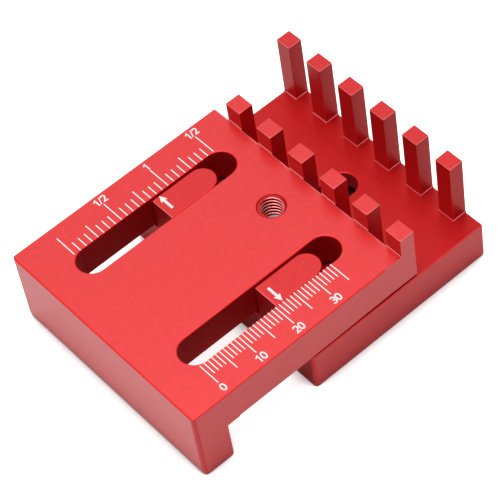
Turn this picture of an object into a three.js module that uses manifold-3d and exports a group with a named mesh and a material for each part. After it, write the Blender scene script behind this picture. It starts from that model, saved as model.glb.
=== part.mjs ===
// Sliding gap and depth gauge: two milled aluminium plates held together by one clamp screw.
// Millimetres, +Z up. The lower plate slides out along +X. The origin is in the middle of the
// base, with the gauge set to its resting reading.

import * as THREE from 'three';
import { mergeVertices } from 'three/addons/utils/BufferGeometryUtils.js';
import Module from 'manifold-3d';

const wasm = await Module();
wasm.setup();

// Both plates
const plateWidth = 58.4;
const bodyLength = 48.1;        // foot face to notch floors above, end to end below
const upperThickness = 9.5;
const lowerThickness = 10;
const plateGap = 0.3;           // running space between the plates with the clamp slack
const edgeRound = 0.4;          // edges that run across the gauge
const sideRound = 0.3;          // edges along the side faces
const cornerRound = 0.9;        // upright corners at the foot and at the jaw end
const edgeSteps = 2;
const overrun = 1;              // how far a cutter runs past the face that it opens
const sink = 1;                 // how far a piece of a plate is rooted in the rest of it

// Foot under the upper plate
const footLength = 7.8;
const footToeRound = 1.1;
const footHeelRound = 0.6;
const footInnerFillet = 0.3;
const landLength = 3.2;         // strip beside the foot that the underside cut leaves
const landDepth = 0.25;

// Pins milled from the plates
const pinCount = 6;
const pinEndSpace = 4.5;        // past the last upper pin, where the last lower pin stands
const pinChamfer = 0.15;
const pinFillet = 0.3;
const upperPinWidth = 4.4;
const upperPinLength = 3.7;
const upperPinHeight = 5.1;
const lowerPinWidth = 4.3;
const lowerPinLength = 3.6;
const lowerPinHeight = 16.6;
const sharpEdgeRun = 4.5;       // top edge left sharp in front of the outermost upper pin
const seatRun = 3;              // raised strip in front of the lower pins
const seatRise = 0.12;

// Slide and scales
const restPushIn = 5.3;         // how far the slide rests short of its outer stop
const scaleBand = 9.15;         // from the side of the plate to the slot, room for the scale
const slotWidth = 7.3;
const slotSetback = 0.1;        // from the foot's face
const slotEndWall = 6;          // from the slot to the notch floors
const slotMouth = 0.25;
const slotArcSteps = 9;

// Pointer bosses that ride in the scale slots
const bossLength = 14.2;
const bossClearance = 0.3;      // to each side of the slot
const bossDrop = 0.5;           // below the upper plate's face
const bossRound = 0.25;

// Clearances at the ends of the travel
const slotStopClearance = 0.2;
const pinStopClearance = 0.4;
const clampTravelClearance = 0.5;

// Screw thread, coarse, right-handed
const threadPitch = 1;
const threadRootRadius = 2.46;
const threadCrestRadius = 3.05;
const threadClearance = 0.2;    // the screw is this much smaller in radius than the hole
const threadSteps = 24;
const threadPitchShares = [0, 1 / 4, 9 / 16, 11 / 16];
const threadDepthShares = [0, 0, 1, 1];

// Clamp: threaded hole, screw, washer and knob
const holeSetback = 9.5;        // from the notch floors
const holeMouthRadius = 3.3;
const clampSlotWidth = 6.6;
const clampSlotMouth = 0.3;
const screwTipDrop = 5.7;       // below the upper face
const screwEndChamfer = 0.6;
const socketAcrossFlats = 3;
const socketDepth = 2.5;
const socketSides = 6;
const knobRadius = 7;
const knobThickness = 3.7;
const knobInset = 0.2;          // above the base
const knobChamfer = 0.5;
const knobRidges = 36;
const knobRidgeDepth = 0.35;
const knobBoreDepth = 2.2;
const knobBoreClearance = 0.1;
const knobBoreEndSpace = 0.2;
const knobDishRadius = 4.6;
const knobDishDepth = 0.4;
const washerRadius = 6;
const washerBoreClearance = 0.3;
const washerThickness = 1;
const seatClearance = 0.1;      // knob to washer
const clampSlack = 0.6;         // washer to the floor of the pocket, as the gauge rests
const pocketClearance = 1.3;    // round the knob
const roundSteps = 40;

// Places that follow from the sizes. A reading is the gap between foot and slide, and also the
// span over both rows of pins.
const halfWidth = plateWidth / 2;
const upperFace = lowerThickness + plateGap + upperThickness;
const underside = upperFace - upperThickness;
const pinPitch = (plateWidth - upperPinWidth - pinEndSpace) / (pinCount - 1);
const pinSideSpace = (pinPitch - upperPinWidth - lowerPinWidth) / 2;
const slotRadius = slotWidth / 2;
const slotCentre = halfWidth - scaleBand - slotRadius;
const slotEnd = bodyLength - slotEndWall;
const bossRadius = slotRadius - bossClearance;
const bossTop = upperFace - bossDrop;
const holeX = bodyLength - holeSetback;
const smallestReading = lowerPinLength + pinStopClearance;
const largestReading = slotEnd - bossLength - slotStopClearance;
const restReading = largestReading - restPushIn;
const clampRunStart = holeX - largestReading - clampTravelClearance;
const clampRunEnd = holeX - smallestReading + clampTravelClearance;
const knobTop = knobInset + knobThickness;
const washerTop = knobTop + seatClearance + washerThickness;
const pocketDepth = washerTop + clampSlack;
const pocketRadius = knobRadius + pocketClearance;
const screwCrestRadius = threadCrestRadius - threadClearance;
const screwRootRadius = threadRootRadius - threadClearance;
const screwTop = upperFace - screwTipDrop;
const screwBottom = knobTop - knobBoreDepth + knobBoreEndSpace;
const gaugeMiddle = (restReading + bodyLength - footLength) / 2;

// Solid from a closed geometry
function solidFrom(geometry) {
  geometry.deleteAttribute('normal');
  geometry.deleteAttribute('uv');
  const merged = mergeVertices(geometry);
  return new wasm.Manifold(new wasm.Mesh({
    numProp: 3,
    vertProperties: new Float32Array(merged.attributes.position.array),
    triVerts: new Uint32Array(merged.index.array),
  }));
}

// Outline with rounded corners, from [x, y, radius] corners in anticlockwise order
function roundedOutline(corners, steps) {
  const points = [];
  corners.forEach(([x, y, radius], i) => {
    const corner = new THREE.Vector2(x, y);
    if (radius === 0) {
      points.push(corner);
      return;
    }
    const before = corners[(i + corners.length - 1) % corners.length];
    const after = corners[(i + 1) % corners.length];
    const back = new THREE.Vector2(before[0] - x, before[1] - y).normalize();
    const on = new THREE.Vector2(after[0] - x, after[1] - y).normalize();
    const half = Math.acos(back.dot(on)) / 2;
    const centre = back.clone().add(on).normalize().multiplyScalar(radius / Math.sin(half)).add(corner);
    const first = back.multiplyScalar(radius / Math.tan(half)).add(corner).sub(centre);
    const last = on.multiplyScalar(radius / Math.tan(half)).add(corner).sub(centre);
    const turn = Math.atan2(first.cross(last), first.dot(last));
    for (let step = 0; step <= steps; step += 1) {
      points.push(first.clone().rotateAround(new THREE.Vector2(), turn * step / steps).add(centre));
    }
  });
  return new THREE.Shape(points);
}

// Plan rectangle
function rectangle(xLow, xHigh, yLow, yHigh) {
  return roundedOutline([[xLow, yLow, 0], [xHigh, yLow, 0], [xHigh, yHigh, 0], [xLow, yHigh, 0]], 1);
}

// Slot with round ends, in plan
function slotOutline(xLow, xHigh, yCentre, radius) {
  const shape = new THREE.Shape();
  shape.absarc(xHigh - radius, yCentre, radius, -Math.PI / 2, Math.PI / 2, false);
  shape.absarc(xLow + radius, yCentre, radius, Math.PI / 2, 3 * Math.PI / 2, false);
  shape.closePath();
  return shape;
}

// Upright prism of a plan outline, its end edges rounded where a round is given
function prism(outline, zLow, zHigh, round = 0) {
  const geometry = new THREE.ExtrudeGeometry(outline, {
    depth: zHigh - zLow - 2 * round,
    curveSegments: slotArcSteps,
    bevelEnabled: round > 0,
    bevelThickness: round,
    bevelSize: round,
    bevelOffset: -round,
    bevelSegments: edgeSteps,
  });
  geometry.translate(0, 0, zLow + round);
  return solidFrom(geometry);
}

// Box between two corners
function block(xLow, xHigh, yLow, yHigh, zLow, zHigh) {
  return prism(rectangle(xLow, xHigh, yLow, yHigh), zLow, zHigh);
}

// Side outline in X and Z, run across the gauge from one Y to another
function sideExtrusion(outline, yLow, yHigh, round, steps) {
  const geometry = new THREE.ExtrudeGeometry(outline, {
    depth: yHigh - yLow - 2 * round,
    bevelEnabled: round > 0,
    bevelThickness: round,
    bevelSize: round,
    bevelOffset: -round,
    bevelSegments: steps,
  });
  geometry.rotateX(Math.PI / 2);
  geometry.translate(0, yHigh - round, 0);
  return solidFrom(geometry);
}

// Plan outline that widens by a chamfer where it meets a face, as a cutter for that edge.
// Above the level given it is wide, and it narrows towards both ends.
function flare(outline, level, size, height) {
  const geometry = new THREE.ExtrudeGeometry(outline, {
    depth: height,
    curveSegments: slotArcSteps,
    bevelThickness: size,
    bevelSize: size,
    bevelSegments: 1,
  });
  geometry.translate(0, 0, level);
  return solidFrom(geometry);
}

// Turned solid from [radius, height] points that start and end on the axis
function turned(points, steps = roundSteps) {
  return solidFrom(new THREE.LatheGeometry(points.map(([r, z]) => new THREE.Vector2(r, z)), steps)
    .rotateX(Math.PI / 2));
}

// Plain round bar
function bar(radius, zLow, zHigh, steps) {
  return turned([[0, zLow], [radius, zLow], [radius, zHigh], [0, zHigh]], steps);
}

// Helical threaded bar round Z, longer than the stretch asked for at both ends.
// Its rows run along the helix, so that the thread is exact, and each turn starts where the
// last one ended.
function threadedBar(rootRadius, crestRadius, zLow, zHigh) {
  const rowsPerTurn = threadPitchShares.length;
  const firstTurn = Math.floor(zLow / threadPitch) - 1;
  const rows = (Math.ceil(zHigh / threadPitch) + 1 - firstTurn) * rowsPerTurn;
  const vertices = [];
  const faces = [];
  const addVertex = (row, step) => {
    const share = row % rowsPerTurn;
    const turn = firstTurn + (row - share) / rowsPerTurn + threadPitchShares[share] + step / threadSteps;
    const radius = rootRadius + (crestRadius - rootRadius) * threadDepthShares[share];
    const angle = 2 * Math.PI * step / threadSteps;
    vertices.push(radius * Math.cos(angle), radius * Math.sin(angle), turn * threadPitch);
  };
  for (let row = 0; row < rows; row += 1) {
    for (let step = 0; step < threadSteps; step += 1) {
      addVertex(row, step);
    }
  }
  for (let row = rows; row < rows + rowsPerTurn; row += 1) {
    addVertex(row, 0);
  }
  const at = (row, step) => {
    if (step === threadSteps) {
      return at(row + rowsPerTurn, 0);
    }
    return row < rows ? row * threadSteps + step : rows * threadSteps + row - rows;
  };
  for (let row = 0; row < rows - 1; row += 1) {
    for (let step = 0; step < threadSteps; step += 1) {
      faces.push(at(row, step), at(row, step + 1), at(row + 1, step + 1));
      faces.push(at(row, step), at(row + 1, step + 1), at(row + 1, step));
    }
  }
  const lowCentre = vertices.length / 3;
  vertices.push(0, 0, firstTurn * threadPitch);
  const highCentre = lowCentre + 1;
  vertices.push(0, 0, (firstTurn + rows / rowsPerTurn + 1) * threadPitch);
  for (let step = 0; step < threadSteps; step += 1) {
    faces.push(at(0, step + 1), at(0, step), lowCentre);
    faces.push(at(rows - 1, step), at(rows - 1, step + 1), highCentre);
  }
  for (let row = 0; row < rowsPerTurn; row += 1) {
    faces.push(at(row, 0), at(row + 1, 0), lowCentre);
    faces.push(at(rows + row, 0), at(rows - 1 + row, 0), highCentre);
  }
  const geometry = new THREE.BufferGeometry();
  geometry.setAttribute('position', new THREE.Float32BufferAttribute(vertices, 3));
  geometry.setIndex(faces);
  return solidFrom(geometry);
}

// Square pin with chamfered edges, its foot rooted below the level that it stands on
function pin(xLow, length, yLow, width, zLow, zHigh) {
  const outline = roundedOutline([
    [xLow, zLow, 0],
    [xLow + length, zLow, 0],
    [xLow + length, zHigh, pinChamfer],
    [xLow, zHigh, pinChamfer],
  ], 1);
  return sideExtrusion(outline, yLow, yLow + width, pinChamfer, 1);
}

// Near side in Y of the upper pin with the number given, counted from the -Y side
function upperPinStart(number) {
  return number * pinPitch - halfWidth;
}

// Row of short pins at the end of the upper plate, open between them right through the plate
function upperPins() {
  const pins = [];
  const fillet = roundedOutline([
    [bodyLength - pinFillet, upperFace, 0],
    [bodyLength + pinFillet, upperFace, 0],
    [bodyLength + pinFillet, upperFace + pinFillet, 0],
    [bodyLength, upperFace + pinFillet, 0],
  ], 1);
  for (let number = 0; number < pinCount; number += 1) {
    const start = upperPinStart(number);
    const end = start + upperPinWidth;
    const rootLength = number === 0 ? sharpEdgeRun : sink;
    pins.push(pin(bodyLength, upperPinLength, start, upperPinWidth, underside,
      upperFace + upperPinHeight));
    pins.push(block(bodyLength - rootLength, bodyLength + pinChamfer, start, end,
      underside + edgeRound, upperFace));
    pins.push(sideExtrusion(fillet, start, end, 0, 1));
  }
  return pins;
}

// Threaded hole through the upper plate, its mouths opened by chamfers
function threadedHole() {
  const waist = threadRootRadius - threadClearance;
  const mouths = turned([
    [0, underside - overrun],
    [holeMouthRadius, underside - overrun],
    [holeMouthRadius, underside],
    [waist, underside + holeMouthRadius - waist],
    [waist, upperFace - holeMouthRadius + waist],
    [holeMouthRadius, upperFace],
    [holeMouthRadius, upperFace + overrun],
    [0, upperFace + overrun],
  ], threadSteps);
  return threadedBar(threadRootRadius, threadCrestRadius, underside - overrun, upperFace + overrun)
    .add(mouths);
}

// Upper plate with its foot, pins, scale slots and threaded hole
function upperPlate() {
  const outline = roundedOutline([
    [-footLength, 0, footToeRound],
    [0, 0, footHeelRound],
    [0, underside - landDepth, footInnerFillet],
    [landLength, underside - landDepth, 0],
    [landLength, underside, 0],
    [bodyLength, underside, edgeRound],
    [bodyLength, upperFace, edgeRound],
    [-footLength, upperFace, edgeRound],
  ], edgeSteps + 1);
  const plan = roundedOutline([
    [-footLength, -halfWidth, cornerRound],
    [bodyLength, -halfWidth, 0],
    [bodyLength, halfWidth, 0],
    [-footLength, halfWidth, cornerRound],
  ], edgeSteps + 1);
  let plate = sideExtrusion(outline, -halfWidth, halfWidth, sideRound, edgeSteps)
    .intersect(prism(plan, -overrun, upperFace + overrun));
  for (const part of upperPins()) {
    plate = plate.add(part);
  }
  for (const side of [-1, 1]) {
    const slot = slotOutline(slotSetback, slotEnd, side * slotCentre, slotRadius);
    plate = plate
      .subtract(prism(slot, underside - landDepth - overrun, upperFace + overrun))
      .subtract(flare(slot, upperFace, slotMouth, overrun));
  }
  return plate.subtract(threadedHole().translate([holeX, 0, 0]));
}

// Row of tall pins at the far end of the lower plate, standing in the gaps of the upper row
function lowerPins() {
  const pins = [];
  const xLow = bodyLength - lowerPinLength;
  for (let number = 0; number < pinCount; number += 1) {
    const start = upperPinStart(number) + upperPinWidth + pinSideSpace;
    const end = Math.min(start + lowerPinWidth, halfWidth);
    pins.push(pin(xLow, lowerPinLength, start, end - start, lowerThickness - sink,
      lowerThickness + lowerPinHeight));
    pins.push(flare(rectangle(xLow, bodyLength, start, end), lowerThickness + seatRise - sink,
      pinFillet, sink));
  }
  return pins;
}

// Boss with a flat end and a round end that rides in a scale slot and carries the pointer
function pointerBoss(side) {
  const steps = 2 * slotArcSteps;
  const centre = side * slotCentre;
  const points = [new THREE.Vector2(0, centre + bossRadius), new THREE.Vector2(0, centre - bossRadius)];
  for (let step = 0; step <= steps; step += 1) {
    const angle = Math.PI * (step / steps - 1 / 2);
    points.push(new THREE.Vector2(
      bossLength - bossRadius + bossRadius * Math.cos(angle),
      centre + bossRadius * Math.sin(angle),
    ));
  }
  return prism(new THREE.Shape(points), lowerThickness - sink, bossTop, bossRound);
}

// Lower plate with its pointer bosses, pins, clamp slot and the pocket for the knob
function lowerPlate() {
  const outline = roundedOutline([
    [0, 0, edgeRound],
    [bodyLength, 0, edgeRound],
    [bodyLength, lowerThickness, edgeRound],
    [0, lowerThickness, edgeRound],
  ], edgeSteps + 1);
  const plan = roundedOutline([
    [0, -halfWidth, cornerRound],
    [bodyLength, -halfWidth, 0],
    [bodyLength, halfWidth, 0],
    [0, halfWidth, cornerRound],
  ], edgeSteps + 1);
  const clampSlot = slotOutline(clampRunStart - clampSlotWidth / 2, clampRunEnd + clampSlotWidth / 2,
    0, clampSlotWidth / 2);
  const pocket = slotOutline(clampRunStart - pocketRadius, clampRunEnd + pocketRadius, 0, pocketRadius);
  const seat = block(bodyLength - lowerPinLength - seatRun, bodyLength - edgeRound,
    edgeRound - halfWidth, halfWidth - edgeRound, lowerThickness - sink, lowerThickness + seatRise);
  let plate = sideExtrusion(outline, -halfWidth, halfWidth, sideRound, edgeSteps)
    .intersect(prism(plan, -overrun, lowerThickness + overrun))
    .add(seat);
  for (const part of lowerPins()) {
    plate = plate.add(part);
  }
  for (const side of [-1, 1]) {
    plate = plate.add(pointerBoss(side));
  }
  return plate
    .intersect(block(0, bodyLength, -halfWidth, halfWidth, 0, upperFace + lowerPinHeight))
    .subtract(prism(clampSlot, -overrun, lowerThickness + overrun))
    .subtract(flare(clampSlot, lowerThickness, clampSlotMouth, overrun))
    .subtract(prism(pocket, -overrun, pocketDepth))
    .subtract(flare(pocket, -overrun, clampSlotMouth, overrun));
}

// Grub screw that stands in the knob, its hexagon socket upwards
function clampScrew() {
  const tipRadius = screwCrestRadius - screwEndChamfer;
  const envelope = turned([
    [0, screwBottom],
    [tipRadius, screwBottom],
    [screwCrestRadius, screwBottom + screwEndChamfer],
    [screwCrestRadius, screwTop - screwEndChamfer],
    [tipRadius, screwTop],
    [0, screwTop],
  ], threadSteps);
  const socketRadius = socketAcrossFlats / (2 * Math.cos(Math.PI / socketSides));
  const socket = bar(socketRadius, screwTop - socketDepth, screwTop + overrun, socketSides);
  return threadedBar(screwRootRadius, screwCrestRadius, screwBottom, screwTop)
    .intersect(envelope)
    .subtract(socket);
}

// Knurled knob, dished underneath and bored from above for the screw
function clampKnob() {
  const points = [];
  for (let i = 0; i < 2 * knobRidges; i += 1) {
    const radius = i % 2 === 0 ? knobRadius : knobRadius - knobRidgeDepth;
    const angle = Math.PI * i / knobRidges;
    points.push(new THREE.Vector2(radius * Math.cos(angle), radius * Math.sin(angle)));
  }
  const envelope = turned([
    [0, knobInset],
    [knobRadius - knobChamfer, knobInset],
    [knobRadius, knobInset + knobChamfer],
    [knobRadius, knobTop - knobChamfer],
    [knobRadius - knobChamfer, knobTop],
    [0, knobTop],
  ], 2 * knobRidges);
  return prism(new THREE.Shape(points), knobInset - overrun, knobTop + overrun)
    .intersect(envelope)
    .subtract(bar(screwCrestRadius + knobBoreClearance, knobTop - knobBoreDepth, knobTop + overrun))
    .subtract(bar(knobDishRadius, knobInset - overrun, knobInset + knobDishDepth));
}

// Flat washer between the knob and the floor of the pocket
function clampWasher() {
  const washerBottom = knobTop + seatClearance;
  return bar(washerRadius, washerBottom, washerTop)
    .subtract(bar(screwCrestRadius + washerBoreClearance, washerBottom - overrun, washerTop + overrun));
}

// Red anodised aluminium with a satin, fine-blasted skin
function redAnodised() {
  return new THREE.MeshStandardMaterial({
    color: 0xd9252c, roughness: 0.42, metalness: 0.55, flatShading: true,
  });
}

// Bright turned steel
function brightSteel() {
  return new THREE.MeshStandardMaterial({
    color: 0xb9bcbf, roughness: 0.32, metalness: 1, flatShading: true,
  });
}

// Named mesh from a solid
function piece(name, solid, material) {
  const mesh = solid.getMesh();
  const geometry = new THREE.BufferGeometry();
  geometry.setAttribute('position', new THREE.BufferAttribute(mesh.vertProperties, 3));
  geometry.setIndex(new THREE.BufferAttribute(mesh.triVerts, 1));
  geometry.computeVertexNormals();
  const named = new THREE.Mesh(geometry, material);
  named.name = name;
  return named;
}

// Lower plate, set out by the resting reading
const slide = new THREE.Group();
slide.position.x = restReading;
slide.add(piece('lower_plate', lowerPlate(), redAnodised()));

// Clamp, on the axis of the threaded hole
const clamp = new THREE.Group();
clamp.position.x = holeX;
clamp.add(piece('clamp_screw', clampScrew(), brightSteel()));
clamp.add(piece('clamp_knob', clampKnob(), brightSteel()));
clamp.add(piece('clamp_washer', clampWasher(), brightSteel()));

const gauge = new THREE.Group();
gauge.position.x = -gaugeMiddle;
gauge.add(piece('upper_plate', upperPlate(), redAnodised()));
gauge.add(slide);
gauge.add(clamp);

export default gauge;
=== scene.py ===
# Sliding gap gauge in red anodised aluminium: a footed upper plate and a lower plate that slides
# under it, each with a row of square pins, held together by a clamp screw with knob and washer.
#
# Shapes are cut in millimetres, with x from the foot's jaw face, y from the middle of the plates
# and z from the base. Each finished mesh is then put in metres round the middle of the base.

import math

import bmesh
import bpy
from mathutils import Matrix, Vector


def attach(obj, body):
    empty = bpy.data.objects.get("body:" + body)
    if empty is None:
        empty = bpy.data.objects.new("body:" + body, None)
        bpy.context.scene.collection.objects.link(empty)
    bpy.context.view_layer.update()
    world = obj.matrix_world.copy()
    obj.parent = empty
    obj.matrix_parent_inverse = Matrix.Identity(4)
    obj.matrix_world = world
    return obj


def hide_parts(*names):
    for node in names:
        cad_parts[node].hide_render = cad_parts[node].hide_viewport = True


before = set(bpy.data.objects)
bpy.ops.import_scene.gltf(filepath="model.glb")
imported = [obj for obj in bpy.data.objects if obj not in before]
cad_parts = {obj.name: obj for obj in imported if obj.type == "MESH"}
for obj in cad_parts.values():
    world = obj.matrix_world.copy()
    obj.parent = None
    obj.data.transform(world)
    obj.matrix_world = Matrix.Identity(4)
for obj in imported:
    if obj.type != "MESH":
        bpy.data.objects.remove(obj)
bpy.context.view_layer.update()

# Plates
PLATE_WIDTH = 58.4
BODY_LENGTH = 48.1
UPPER_THICKNESS = 9.5
LOWER_THICKNESS = 10.0
PLATE_GAP = 0.3
EDGE_ROUND = 0.4
SIDE_ROUND = 0.3
CORNER_ROUND = 0.9

# Foot, and the land that the underside cut leaves beside it
FOOT_LENGTH = 7.8
FOOT_TOE_ROUND = 1.1
FOOT_HEEL_ROUND = 0.6
FOOT_FILLET = 0.3
LAND_LENGTH = 3.2
LAND_DEPTH = 0.25

# Filed lower edge along each side, as places in x and the depth there
FILED_EDGE = ((3.25, 0.02), (22.0, 0.3), (44.0, 0.7), (54.0, 0.6))

# Pins
PIN_COUNT = 6
PIN_PITCH = 9.9
PIN_TOP_ROUND = 0.16
PIN_SIDE_ROUND = 0.08
PIN_FILLET = 0.15
SKIRT = 0.13
UPPER_PIN_WIDTH = 4.4
UPPER_PIN_LENGTH = 3.7
UPPER_PIN_HEIGHT = 5.1
LOWER_PIN_WIDTH = 4.3
LOWER_PIN_LENGTH = 3.6
LOWER_PIN_HEIGHT = 16.6
SHARP_EDGE_RUN = 4.5
SEAT_RUN = 3.0
SEAT_RISE = 0.12

# Scale slots, and the bosses that ride in them
SLOT_WIDTH = 7.3
SLOT_CENTRE = 16.4
SLOT_START = 0.1
SLOT_END = 42.1
SLOT_MOUTH = 0.25
SLOT_RELIEF = 1.1
BOSS_LENGTH = 14.2
BOSS_CLEARANCE = 0.3
BOSS_DROP = 0.5
BOSS_ROUND = 0.25

# Clamp
HOLE_X = 38.6
HOLE_MOUTH_RADIUS = 3.3
THREAD_PITCH = 1.0
THREAD_ROOT_RADIUS = 2.46
THREAD_CREST_RADIUS = 3.05
THREAD_CLEARANCE = 0.2
THREAD_LEAD = 0.3
CLAMP_SLOT_WIDTH = 6.6
CLAMP_RUN = (10.4, 35.1)
CLAMP_MOUTH = 0.3
POCKET_RADIUS = 8.3
POCKET_DEPTH = 5.6
SCREW_BOTTOM = 1.9
SCREW_TOP = 14.1
SCREW_CHAMFER = 0.6
SOCKET_SIDES = 6
SOCKET_ACROSS_FLATS = 3.0
SOCKET_DEPTH = 2.5
SOCKET_CONE = 0.6
SOCKET_BEVEL = 0.2
SOCKET_OVERRUN = 0.15
KNOB_RADIUS = 7.0
KNOB_BOTTOM = 0.2
KNOB_TOP = 3.9
KNOB_CHAMFER = 0.35
KNOB_DISH_RADIUS = 4.6
KNOB_DISH_DEPTH = 0.4
KNOB_BORE_RADIUS = 3.0
KNOB_BORE_DEPTH = 2.2
WASHER_RADIUS = 6.0
WASHER_BOTTOM = 4.0
WASHER_TOP = 5.0
WASHER_BEVEL = 0.12
WASHER_BORE_CLEARANCE = 0.3

# Ridges round the knob
KNURL_COUNT = 60
KNURL_DEPTH = 0.4
KNURL_ROOT_DEPTH = 0.8
KNURL_ROOT_HALF = 0.3
KNURL_TIP_HALF = 0.06
KNURL_END_GAP = 0.1
KNURL_TAPER = 0.5

# Thread form: flats and flank as shares of the pitch, lip as a share of the ridge's height
ROOT_FLAT = 0.25
CREST_FLAT = 0.125
FLANK = 0.3125
THREAD_LIP = 0.3

# Gap between the foot and the slide as the gauge rests, and the middle of the base in x
REST_READING = 22.4
ORIGIN_X = 31.35

# Marks
INCH = 25.4
SCALE_ZERO = 1.83
MARK_WIDTH = 0.26
MARK_SETBACK = 0.05
MARK_HEIGHT = 0.02
MARK_SINK = 0.01
METRIC_NUMBERS_Y = -27.25
INCH_NUMBERS_Y = 27.35
DIGIT_HEIGHT = 2.0
DIGIT_STROKE = 0.35
DIGIT_ADVANCE = 0.64
SLASH_ADVANCE = 0.34
SLASH_THINNING = 0.7
MITRE_LIMIT = 0.6
POINTER_SETBACK = SCALE_ZERO
POINTER_INSET = 0.15
ARROW_LENGTH = 4.5
ARROW_HALF_WIDTH = 0.84
ARROW_BARB = 1.85
ARROW_NOTCH = 1.7
ARROW_SHAFT_HALF = 0.3

# Light and floor, in metres and watts
ROOM_LEVEL = 0.15
CAMERA_GLOW = 0.9
REFLECTED_GLOW = 0.14
LAMP_PLACE = Vector((-0.1, 0.04, 1.0))
LAMP_SIZE = 0.8
LAMP_POWER = 9.2
FLOOR_HALF = 3.0
FLOOR_DROP = 0.0001
SHADE_REACH = 0.009

# Steps of round shapes
ARC_STEPS = 48
BORE_STEPS = 64
RIM_STEPS = 96
MOUTH_STEPS = 6
EDGE_STEPS = 4
PIN_EDGE_STEPS = 3

# How far a cutter runs out past a face, and how deep a joined solid is sunk
OVERRUN = 2.0
SINK = 1.0

# How near counts as the same place, how near to the lower plate's top counts as its top, and the
# radius that stands for a point on the axis
HAIR = 0.01
TOP_BAND = 0.2
POINT_RADIUS = 0.001

# How much of a normal has to point one way for a face to be chosen
SQUARE_ON = 0.99
NEARLY_LEVEL = 0.95
MAINLY = 0.9
TILTED = 0.3
SLIGHTLY = 0.1

# Sharpest turn, in degrees, that is still shaded smooth or left without a rounding
SMOOTH_ANGLE = 28.0
SHARP_ANGLE = 30.0

HALF_WIDTH = PLATE_WIDTH / 2
UPPER_FACE = LOWER_THICKNESS + PLATE_GAP + UPPER_THICKNESS
UNDERSIDE = LOWER_THICKNESS + PLATE_GAP
SLOT_RADIUS = SLOT_WIDTH / 2
BOSS_RADIUS = SLOT_RADIUS - BOSS_CLEARANCE
BOSS_TOP = UPPER_FACE - BOSS_DROP
PIN_SPACE = (PIN_PITCH - UPPER_PIN_WIDTH - LOWER_PIN_WIDTH) / 2


# Camera

def add_camera():
    """Camera of the photo, worked out from the gauge's edges and marks."""
    right = Vector((0.74776, -0.65419, -0.11349))
    down = Vector((-0.57145, -0.54705, -0.61169))
    forward = Vector((0.33808, 0.52226, -0.78290))
    place = Vector((-0.16710, -0.25825, 0.39877))
    camera = bpy.data.objects.new("camera", bpy.data.cameras.new("camera"))
    bpy.context.scene.collection.objects.link(camera)
    turn = Matrix((right, -down, -forward)).transposed()
    camera.matrix_world = Matrix.Translation(place) @ turn.to_4x4()
    camera.data.sensor_width = 36
    camera.data.lens = 170.45
    camera.data.clip_start = 0.01
    camera.data.clip_end = 20
    bpy.context.scene.camera = camera


# Node helpers

def new_material(name):
    material = bpy.data.materials.new(name)
    material.use_nodes = True
    material.node_tree.nodes.clear()
    return material


def add_node(tree, kind, inputs=None, **settings):
    node = tree.nodes.new(kind)
    for key, value in settings.items():
        setattr(node, key, value)
    for key, value in (inputs or {}).items():
        if isinstance(value, bpy.types.NodeSocket):
            tree.links.new(value, node.inputs[key])
        else:
            node.inputs[key].default_value = value
    return node


def grain(tree, place, scale, detail=3.0, roughness=0.6):
    return add_node(tree, "ShaderNodeTexNoise", {
        "Vector": place, "Scale": scale, "Detail": detail, "Roughness": roughness,
    }).outputs["Fac"]


def spread(tree, value, low, high):
    return add_node(tree, "ShaderNodeMapRange", {
        "Value": value, "From Min": 0.3, "From Max": 0.7, "To Min": low, "To Max": high,
    }).outputs["Result"]


def object_place(tree, stretch=(1, 1, 1)):
    place = add_node(tree, "ShaderNodeTexCoord").outputs["Object"]
    return add_node(tree, "ShaderNodeMapping", {"Vector": place, "Scale": stretch}).outputs["Vector"]


# Finishes, and copies of them with painted highlights and painted shade

def blasted_anodising(name, colour, pale, roughness, film):
    """Dyed anodising over a fine-blasted skin: a metal ground under a clear, dull film."""
    material = new_material(name)
    tree = material.node_tree
    place = object_place(tree)
    blast = grain(tree, place, scale=3800.0)
    clouds = grain(tree, place, scale=700.0, detail=5.0, roughness=0.65)
    tone = add_node(tree, "ShaderNodeMix", {
        "Factor": spread(tree, clouds, 0.0, 0.5), "A": (*colour, 1), "B": (*pale, 1),
    }, data_type="RGBA").outputs["Result"]
    speckled = add_node(tree, "ShaderNodeMix", {
        "Factor": spread(tree, blast, 0.0, 0.55), "A": tone, "B": (*pale, 1),
    }, data_type="RGBA").outputs["Result"]
    bump = add_node(tree, "ShaderNodeBump", {
        "Height": blast, "Strength": 0.3, "Distance": 0.00006,
    }).outputs["Normal"]
    shader = add_node(tree, "ShaderNodeBsdfPrincipled", {
        "Base Color": speckled,
        "Metallic": 0.4,
        "Roughness": spread(tree, blast, roughness - 0.04, roughness + 0.05),
        "Specular IOR Level": 0.2,
        "Coat Weight": film,
        "Coat Roughness": 0.28,
        "Coat IOR": 1.6,
        "Normal": bump,
        "Coat Normal": bump,
    }).outputs["BSDF"]
    add_node(tree, "ShaderNodeOutputMaterial", {"Surface": shader})
    return material


def turned_steel(name, colour, roughness, ring_scale, metal=1.0):
    """Turned or rolled steel, with fine tool rings and a little dulling."""
    material = new_material(name)
    tree = material.node_tree
    place = object_place(tree)
    rings = grain(tree, object_place(tree, (1, 1, 12)), ring_scale, detail=2.0)
    dull = grain(tree, place, scale=500.0)
    tone = add_node(tree, "ShaderNodeMix", {
        "Factor": spread(tree, dull, 0.0, 0.6),
        "A": (*colour, 1),
        "B": (*(c * 0.8 for c in colour), 1),
    }, data_type="RGBA").outputs["Result"]
    bump = add_node(tree, "ShaderNodeBump", {
        "Height": rings, "Strength": 0.25, "Distance": 0.00003,
    }).outputs["Normal"]
    shader = add_node(tree, "ShaderNodeBsdfPrincipled", {
        "Base Color": tone,
        "Metallic": metal,
        "Roughness": spread(tree, dull, roughness - 0.06, roughness + 0.1),
        "Normal": bump,
    }).outputs["BSDF"]
    add_node(tree, "ShaderNodeOutputMaterial", {"Surface": shader})
    return material


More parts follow.
